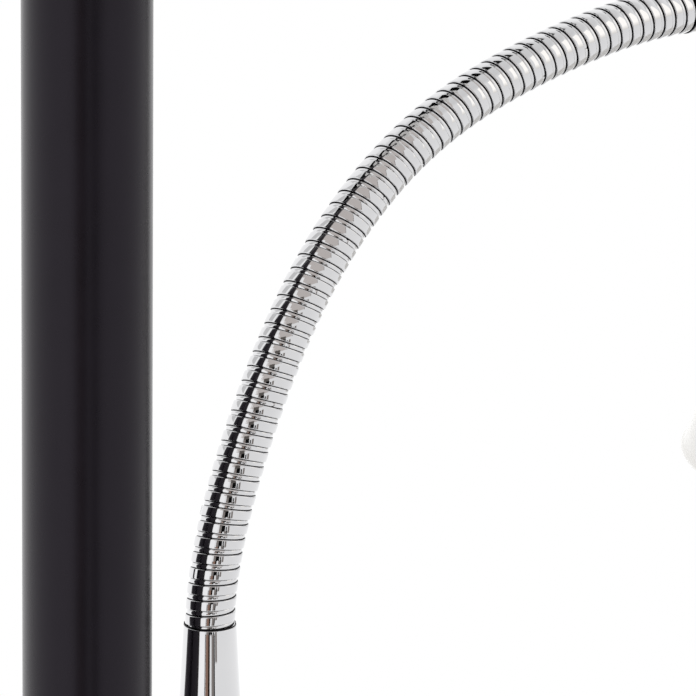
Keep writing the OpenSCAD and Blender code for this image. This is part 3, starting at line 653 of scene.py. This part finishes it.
# Light: an even white studio; polished metal sees it lighter to the left and behind, and its ceiling darker
RIGHT_FRONT = 1.06
LEFT_BACK = 1.29
CEILING = 0.82
SOFT_LIGHT = 0.72
world = bpy.data.worlds.new("studio")
bpy.context.scene.world = world
world.use_nodes = True
tree = world.node_tree
tree.nodes.clear()
way = add(tree, "ShaderNodeTexCoord").outputs["Generated"]
facing = add(tree, "ShaderNodeVectorMath", {0: way, 1: -(right + sight).normalized()},
             operation="DOT_PRODUCT").outputs["Value"]
round_level = add(tree, "ShaderNodeMapRange", {"Value": facing, "From Min": -1.0, "To Min": RIGHT_FRONT,
                                              "To Max": LEFT_BACK}).outputs["Result"]
upward = add(tree, "ShaderNodeSeparateXYZ", {0: way}).outputs["Z"]
ceiling = add(tree, "ShaderNodeMapRange", {"Value": upward, "From Min": 0.72, "From Max": 0.86,
                                          "To Min": 1.0, "To Max": CEILING}).outputs["Result"]
mirror_level = add(tree, "ShaderNodeMath", {0: round_level, 1: ceiling}, operation="MULTIPLY").outputs[0]
ray = add(tree, "ShaderNodeLightPath")
soft = add(tree, "ShaderNodeBackground", {"Color": (1, 1, 1, 1), "Strength": SOFT_LIGHT})
mirrored = add(tree, "ShaderNodeBackground", {"Color": (1, 1, 1, 1), "Strength": mirror_level})
seen = add(tree, "ShaderNodeBackground", {"Color": (1, 1, 1, 1), "Strength": 1.0})
for_gloss = add(tree, "ShaderNodeMixShader", {0: ray.outputs["Is Glossy Ray"], 1: soft.outputs[0],
                                              2: mirrored.outputs[0]})
for_eye = add(tree, "ShaderNodeMixShader", {0: ray.outputs["Is Camera Ray"], 1: for_gloss.outputs[0],
                                            2: seen.outputs[0]})
add(tree, "ShaderNodeOutputWorld", {"Surface": for_eye.outputs[0]})

# Two large soft lamps above, for gentle shading and the shadow on the floor: place in m, watts, width in m
LAMPS_AIM = Vector((0, 0, 1.0))
lamps = {"lamp_key": ((-1.6, -2.2, 3.2), 26, 1.6), "lamp_fill": ((2.4, -0.8, 2.8), 12, 1.8)}
for name, (spot, power, across) in lamps.items():
    light = bpy.data.lights.new(name, "AREA")
    light.energy = power
    light.size = across
    lamp = bpy.data.objects.new(name, light)
    lamp.location = spot
    lamp.rotation_euler = (Vector(spot) - LAMPS_AIM).to_track_quat("Z", "Y").to_euler()
    lamp.visible_camera = False
    lamp.visible_glossy = False
    bpy.context.scene.collection.objects.link(lamp)

# Floor: pale, and fading into the white round it, so that only the shadow shows
FLOOR_R = 2.2
FLOOR_SIDES = 96
floor_finish, tree, shader, place = finish_of("pale_floor", "#F4F4F4", Roughness=0.9)
from_pole = add(tree, "ShaderNodeVectorMath", {0: place}, operation="LENGTH").outputs["Value"]
fade = add(tree, "ShaderNodeMapRange", {"Value": from_pole, "From Min": 0.4,
                                       "From Max": 1.5}).outputs["Result"]
clear = add(tree, "ShaderNodeBsdfTransparent")
mix = add(tree, "ShaderNodeMixShader", {0: fade, 1: shader.outputs[0], 2: clear.outputs[0]})
tree.links.new(mix.outputs[0], tree.nodes["Material Output"].inputs["Surface"])
floor_edge = []
for k in range(FLOOR_SIDES):
    a = 2 * math.pi * k / FLOOR_SIDES
    floor_edge.append((FLOOR_R * math.cos(a), FLOOR_R * math.sin(a), -0.0005))
piece_of("floor", floor_edge, [tuple(range(FLOOR_SIDES))], [floor_finish])

# What stands round the studio and shows only as a mirror image in the polished metal: distances in m
WALL_R = 3.0
BOOM_R = 2.8
STAND_R = 2.6
CAMERA_R = 2.65
BEHIND_STANDS_R = 2.7


def glowing(name, code, level, fade=None):
    """A surface that shines at a level, 1 being white; fade is two heights in m and the level below them"""
    material = bpy.data.materials.new(name)
    material.use_nodes = True
    tree = material.node_tree
    tree.nodes.clear()
    shine = add(tree, "ShaderNodeEmission", {"Color": srgb(code), "Strength": level})
    if fade:
        place = add(tree, "ShaderNodeTexCoord").outputs["Object"]
        height = add(tree, "ShaderNodeSeparateXYZ", {0: place}).outputs["Z"]
        rise = add(tree, "ShaderNodeMapRange", {"Value": height, "From Min": fade[0], "From Max": fade[1],
                                               "To Min": fade[2], "To Max": level}).outputs["Result"]
        tree.links.new(rise, shine.inputs["Strength"])
    add(tree, "ShaderNodeOutputMaterial", {"Surface": shine.outputs[0]})
    return material


def mirror_image(name, verts, faces, material):
    """A piece of the studio that shows only as a mirror image in polished metal"""
    piece = piece_of(name, verts, faces, [material])
    piece.visible_camera = False
    piece.visible_diffuse = False
    piece.visible_shadow = False
    piece.visible_transmission = False


def way_to(side, rise):
    """Direction from the lower rim, in degrees from the camera and degrees up"""
    a = SIGHT_AZIMUTH + math.radians(side)
    rise = math.radians(rise)
    return Vector((math.sin(a) * math.cos(rise), -math.cos(a) * math.cos(rise), math.sin(rise)))


def boom(name, bends, material):
    """A bar hung over the studio: each bend a direction from the lower rim and the bar's width in degrees"""
    ways = [way_to(side, rise) for side, rise, across in bends]
    verts = []
    for k, way in enumerate(ways):
        along = ways[min(k + 1, len(ways) - 1)] - ways[max(k - 1, 0)]
        half = way.cross(along).normalized() * math.tan(math.radians(bends[k][2] / 2))
        verts += [rim_at + (way - half) * BOOM_R, rim_at + (way + half) * BOOM_R]
    faces = [(2 * k, 2 * k + 1, 2 * k + 3, 2 * k + 2) for k in range(len(ways) - 1)]
    mirror_image(name, verts, faces, material)


def screen(name, sides, heights, material, distance=WALL_R):
    """A curved screen round the lower rim: its sides in degrees from the camera, its heights in degrees"""
    columns = max(2, round((sides[1] - sides[0]) / 4))
    rows = max(2, round((heights[1] - heights[0]) / 4))
    verts = []
    for k in range(rows + 1):
        rise = heights[0] + (heights[1] - heights[0]) * k / rows
        for c in range(columns + 1):
            verts.append(rim_at + way_to(sides[0] + (sides[1] - sides[0]) * c / columns, rise) * distance)
    faces = []
    for k in range(rows):
        for c in range(columns):
            a = k * (columns + 1) + c
            faces.append((a, a + 1, a + columns + 2, a + columns + 1))
    mirror_image(name, verts, faces, material)


strip_light = glowing("strip_cloth", "#FFFFFF", 1.3)
soft_light = glowing("softbox_cloth", "#FFFCF7", 1.6, fade=(1.3, 2.1, 1.0))
grey_wall = glowing("grey_wall", "#DBD4D0", 1.0)
pale_wall = glowing("pale_wall", "#E6E6E6", 1.0)
dark_stand = glowing("dark_stand", "#0A0A0A", 1.0)
brown_stand = glowing("brown_stand", "#9A7B6C", 1.0)
grey_stand = glowing("grey_stand", "#958E8A", 1.0)
dim_stand = glowing("dim_stand", "#6A6561", 1.0)

screen("strip_left", (-48, -21), (-26, 34), strip_light)
screen("softbox_right", (72, 97), (3, 50), soft_light)
screen("wall_low", (-29, 36), (20, 48), grey_wall)
screen("wall_high", (-46, 48), (48, 80), grey_wall)
screen("wall_side", (-120, -94), (14, 58), pale_wall)
screen("wall_edge", (36, 37.5), (18, 52), dim_stand)
screen("stand_left", (-18.5, -16), (-26, -3), dark_stand, STAND_R)
screen("stand_brown", (-15, -5), (-26, -3), brown_stand, BEHIND_STANDS_R)
screen("stand_legs", (-5, 1), (-26, -3), dark_stand, STAND_R)
screen("stand_camera", (-4, 11), (-3, 15), dark_stand, CAMERA_R)
screen("stand_arm", (14, 19), (-3, 10), dark_stand, STAND_R)
screen("stand_shoulder", (-14, 9), (15, 25), dim_stand, STAND_R)
screen("stand_body", (-14, -4), (-3, 15), grey_stand, BEHIND_STANDS_R)
screen("stand_grey", (8, 17), (-26, -3), grey_stand, BEHIND_STANDS_R)
screen("stand_right", (17, 21), (-26, -3), dark_stand, STAND_R)
screen("stand_far", (22.5, 30), (-10, 11), grey_stand, CAMERA_R)
boom("boom", [(-76, 24, 9), (-74, 40, 10), (-73, 55, 13), (-84, 67, 17), (-118, 75, 21), (-165, 73, 22),
              (178, 62, 22)], dark_stand)
